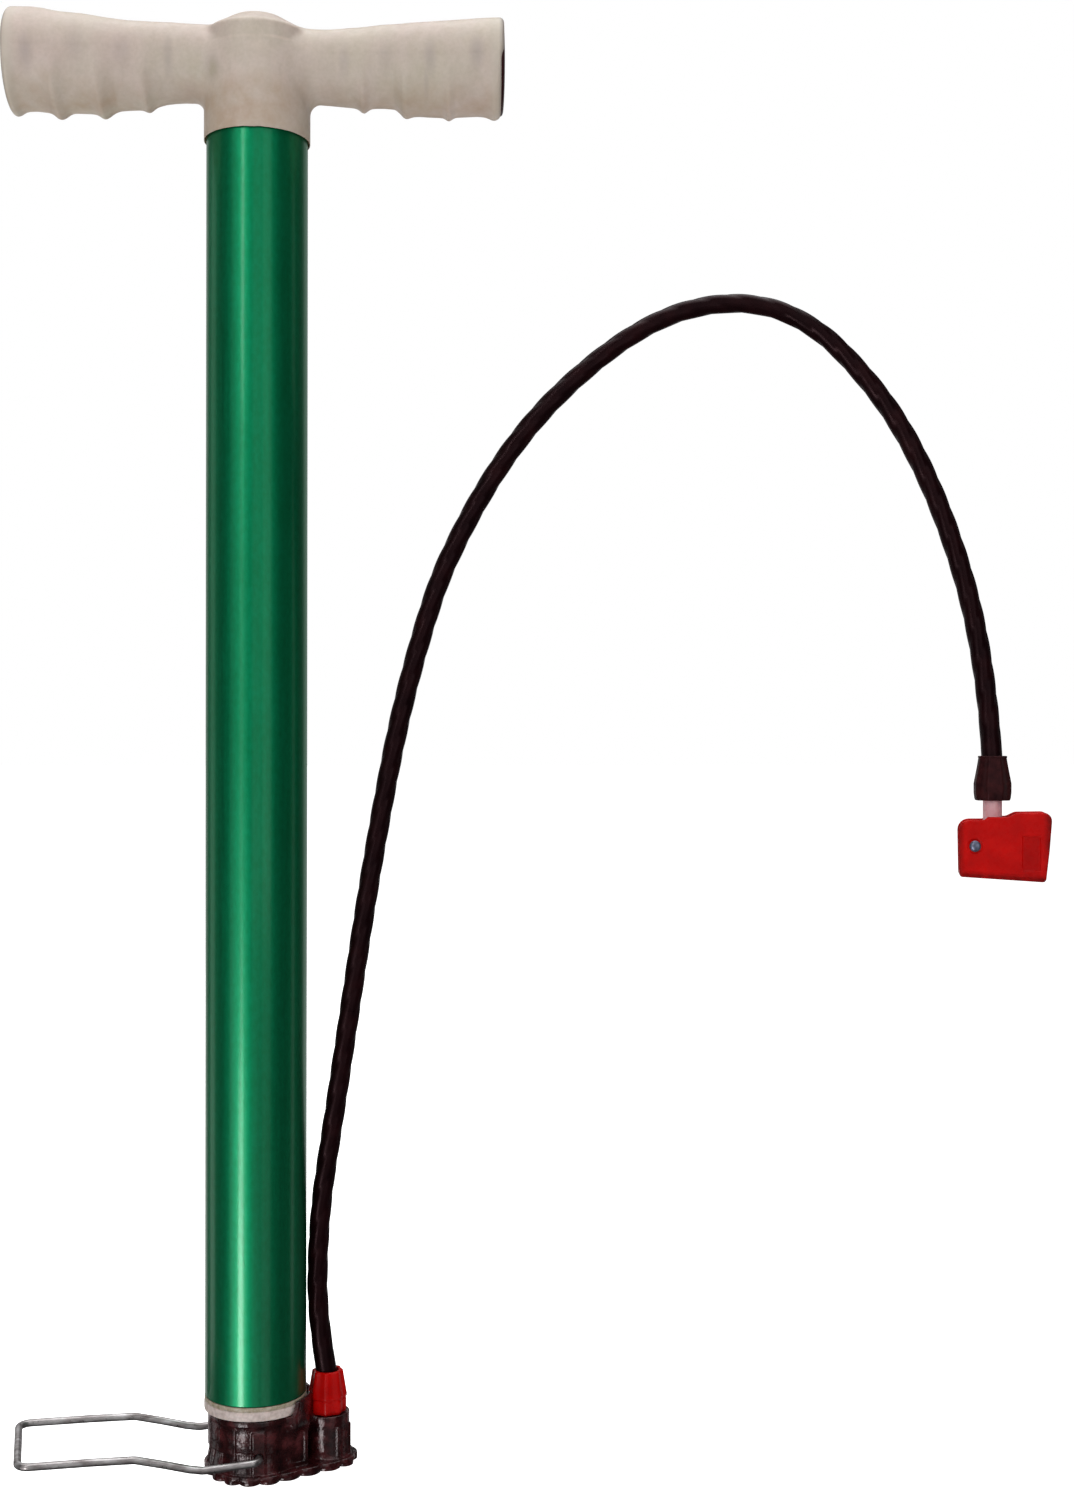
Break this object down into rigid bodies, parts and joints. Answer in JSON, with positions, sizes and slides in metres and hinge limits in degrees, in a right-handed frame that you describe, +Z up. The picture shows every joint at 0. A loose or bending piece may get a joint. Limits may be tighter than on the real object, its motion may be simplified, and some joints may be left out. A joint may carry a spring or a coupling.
{
  "type": "floor bike pump",
  "caption": "Upright floor pump with a green barrel, T-handle, wire foot stirrup and an arched hose ending in a lever valve head.",
  "frame": {"origin": "on the barrel's axis at the floor, under the base", "axes": "+Z up along the barrel; +X towards the hose outlet, -X towards the foot stirrup; +Y is the stirrup hinge's axis"},
  "size_m": [0.3893, 0.095, 0.5404],
  "materials": {
    "green_metal": "glossy green anodised tube with soft long highlights",
    "ring_plastic": "off-white moulded plastic",
    "base_black": "glossy black moulded plastic with a brownish tint",
    "steel": "bright ground steel",
    "zinc": "dull zinc-plated steel",
    "brass": "turned brass",
    "rubber": "black rubber",
    "hose_rubber": "glossy black reinforced rubber hose with a faint braid",
    "red_plastic": "bright red moulded plastic",
    "black_plastic": "black moulded plastic",
    "head_plastic": "pinkish off-white moulded plastic",
    "handle_plastic": "milky beige-grey moulded plastic, satin",
    "guide_plastic": "natural white moulded plastic",
    "cup_leather": "greased brown leather"
  },
  "bodies": {
    "barrel": {"barrel_tube": "green_metal", "base_ring": "ring_plastic", "base_casting": "base_black", "barrel_seal": "rubber", "top_guide": "guide_plastic", "outlet_nipple": "brass", "outlet_seal": "rubber", "lower_hose_nut": "red_plastic", "hose": "hose_rubber", "upper_hose_nut": "black_plastic", "head_body": "head_plastic", "valve_gland": "rubber", "gland_cap": "black_plastic"},
    "piston": {"piston_cup": "cup_leather"},
    "handle": {"handle": "handle_plastic", "grip_plug_left": "black_plastic", "grip_plug_right": "black_plastic", "piston_rod": "steel", "piston_top_washer": "zinc", "piston_spreader": "zinc", "piston_nut": "zinc", "rod_lock_nut": "zinc", "handle_washer": "zinc", "handle_bumper": "rubber"},
    "stirrup": {"foot_stirrup": "zinc"},
    "lever": {"head_lever": "red_plastic", "head_pin": "steel", "head_cam": "steel"},
    "plunger": {"head_plunger": "guide_plastic"},
    "check_ball": {"check_valve_ball": "steel", "check_valve_spring": "steel"}
  },
  "joints": [
    {"name": "handle_slide", "type": "slide", "parent": "barrel", "child": "piston", "axis": [0, 0, 1], "range_m": [0, 0.43]},
    {"name": "handle_spin", "type": "hinge", "parent": "piston", "child": "handle", "pos_m": [0, 0, 0.5214], "axis": [0, 0, 1], "continuous": true},
    {"name": "stirrup_fold", "type": "hinge", "parent": "barrel", "child": "stirrup", "pos_m": [0, 0, 0.0094], "axis": [0, 1, 0], "range_deg": [-8, 72]},
    {"name": "lever_flip", "type": "hinge", "parent": "barrel", "child": "lever", "pos_m": [0.26727, -0.04324, 0.2305], "axis": [0.3907, 0.9205, 0], "range_deg": [0, 90]},
    {"name": "plunger_push", "type": "slide", "parent": "barrel", "child": "plunger", "axis": [0.9205, -0.3907, 0], "range_m": [0, 0.0013]},
    {"name": "check_valve_lift", "type": "slide", "parent": "barrel", "child": "check_ball", "axis": [0, 0, 1], "range_m": [0, 0.0015], "stiffness_N_per_m": 50, "springref_m": -0.0005, "deforming": ["check_valve_spring"]}
  ],
  "couplings": [
    {"joint": "plunger_push", "follows": "lever_flip", "m_per_rad": 0.00076}
  ]
}
